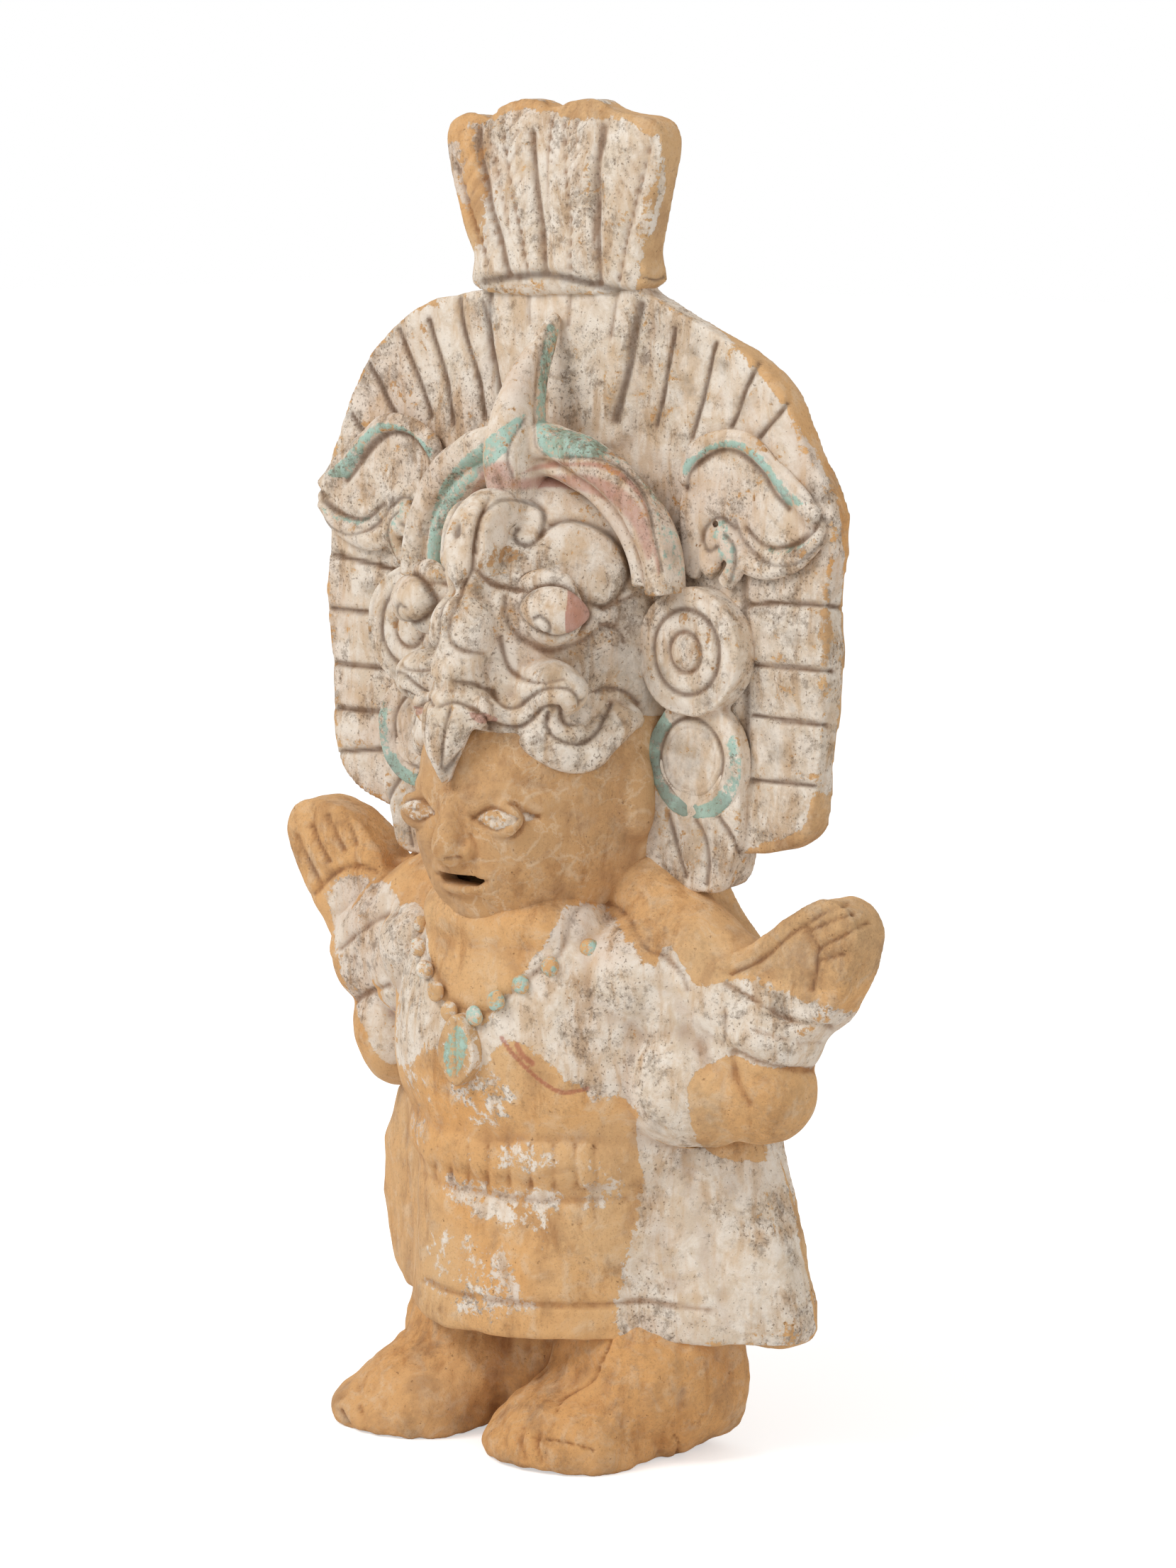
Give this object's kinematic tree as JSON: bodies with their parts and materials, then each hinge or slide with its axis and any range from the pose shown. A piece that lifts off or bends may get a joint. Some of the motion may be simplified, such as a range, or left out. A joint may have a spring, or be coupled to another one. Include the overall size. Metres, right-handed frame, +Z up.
{
  "type": "anthropomorphic rattle",
  "caption": "Standing hollow ceramic figure with a feathered headdress and an animal mask, holding loose clay pellets that sound when it is shaken.",
  "frame": {"origin": "on the ground, on the underside of the heel block, below the middle of the hollow body", "axes": "+Z up along the figure, -Y the way it faces, +X its left side"},
  "size_m": [0.2118, 0.0803, 0.3675],
  "materials": {
    "clay": "matte low-fired ochre clay, burnished by handling",
    "slip": "matte white slip, worn and stained, over ochre clay",
    "turquoise": "matte turquoise paint, flaking off white slip",
    "inner_clay": "plain unslipped clay"
  },
  "bodies": {
    "figure": {"front_shell": "clay", "back_shell": "clay", "belt_band": "clay", "head_shell": "clay", "heel_block": "clay", "floor_plate": "inner_clay", "headdress_fan": "slip", "plume_crest": "slip", "centre_panel": "slip", "beast_mask": "slip", "mask_beak": "slip", "nose_scroll": "slip", "brow_band": "turquoise", "brow_horn": "turquoise", "necklace_plaque": "turquoise", "left_lip_band": "slip", "left_mask_eye": "slip", "left_brow_scroll": "slip", "left_ear_spool": "slip", "left_lappet": "slip", "left_feather_scroll": "slip", "left_cuff": "slip", "left_ear_pendant": "turquoise", "left_curl": "turquoise", "left_elbow": "clay", "left_hand": "clay", "left_foot": "clay", "left_bead_1": "turquoise", "left_bead_2": "turquoise", "left_bead_3": "turquoise", "left_bead_4": "turquoise", "left_bead_5": "turquoise", "right_lip_band": "slip", "right_mask_eye": "slip", "right_brow_scroll": "slip", "right_ear_spool": "slip", "right_lappet": "slip", "right_feather_scroll": "slip", "right_cuff": "slip", "right_ear_pendant": "turquoise", "right_curl": "turquoise", "right_elbow": "clay", "right_hand": "clay", "right_foot": "clay", "right_bead_1": "turquoise", "right_bead_2": "turquoise", "right_bead_3": "turquoise", "right_bead_4": "turquoise", "right_bead_5": "turquoise"},
    "pellet_1_body": {"pellet_1": "inner_clay"},
    "pellet_2_body": {"pellet_2": "inner_clay"},
    "pellet_3_body": {"pellet_3": "inner_clay"},
    "pellet_4_body": {"pellet_4": "inner_clay"},
    "pellet_5_body": {"pellet_5": "inner_clay"},
    "pellet_6_body": {"pellet_6": "inner_clay"}
  },
  "joints": [
    {"name": "pellet_1_rise", "type": "slide", "parent": "figure", "child": "pellet_1_body", "axis": [0, 0, 1], "range_m": [0, 0.088]},
    {"name": "pellet_2_rise", "type": "slide", "parent": "figure", "child": "pellet_2_body", "axis": [0, 0, 1], "range_m": [0, 0.088]},
    {"name": "pellet_3_rise", "type": "slide", "parent": "figure", "child": "pellet_3_body", "axis": [0, 0, 1], "range_m": [0, 0.088]},
    {"name": "pellet_4_rise", "type": "slide", "parent": "figure", "child": "pellet_4_body", "axis": [0, 0, 1], "range_m": [0, 0.088]},
    {"name": "pellet_5_rise", "type": "slide", "parent": "figure", "child": "pellet_5_body", "axis": [0, 0, 1], "range_m": [0, 0.088]},
    {"name": "pellet_6_rise", "type": "slide", "parent": "figure", "child": "pellet_6_body", "axis": [0, 0, 1], "range_m": [0, 0.088]}
  ]
}
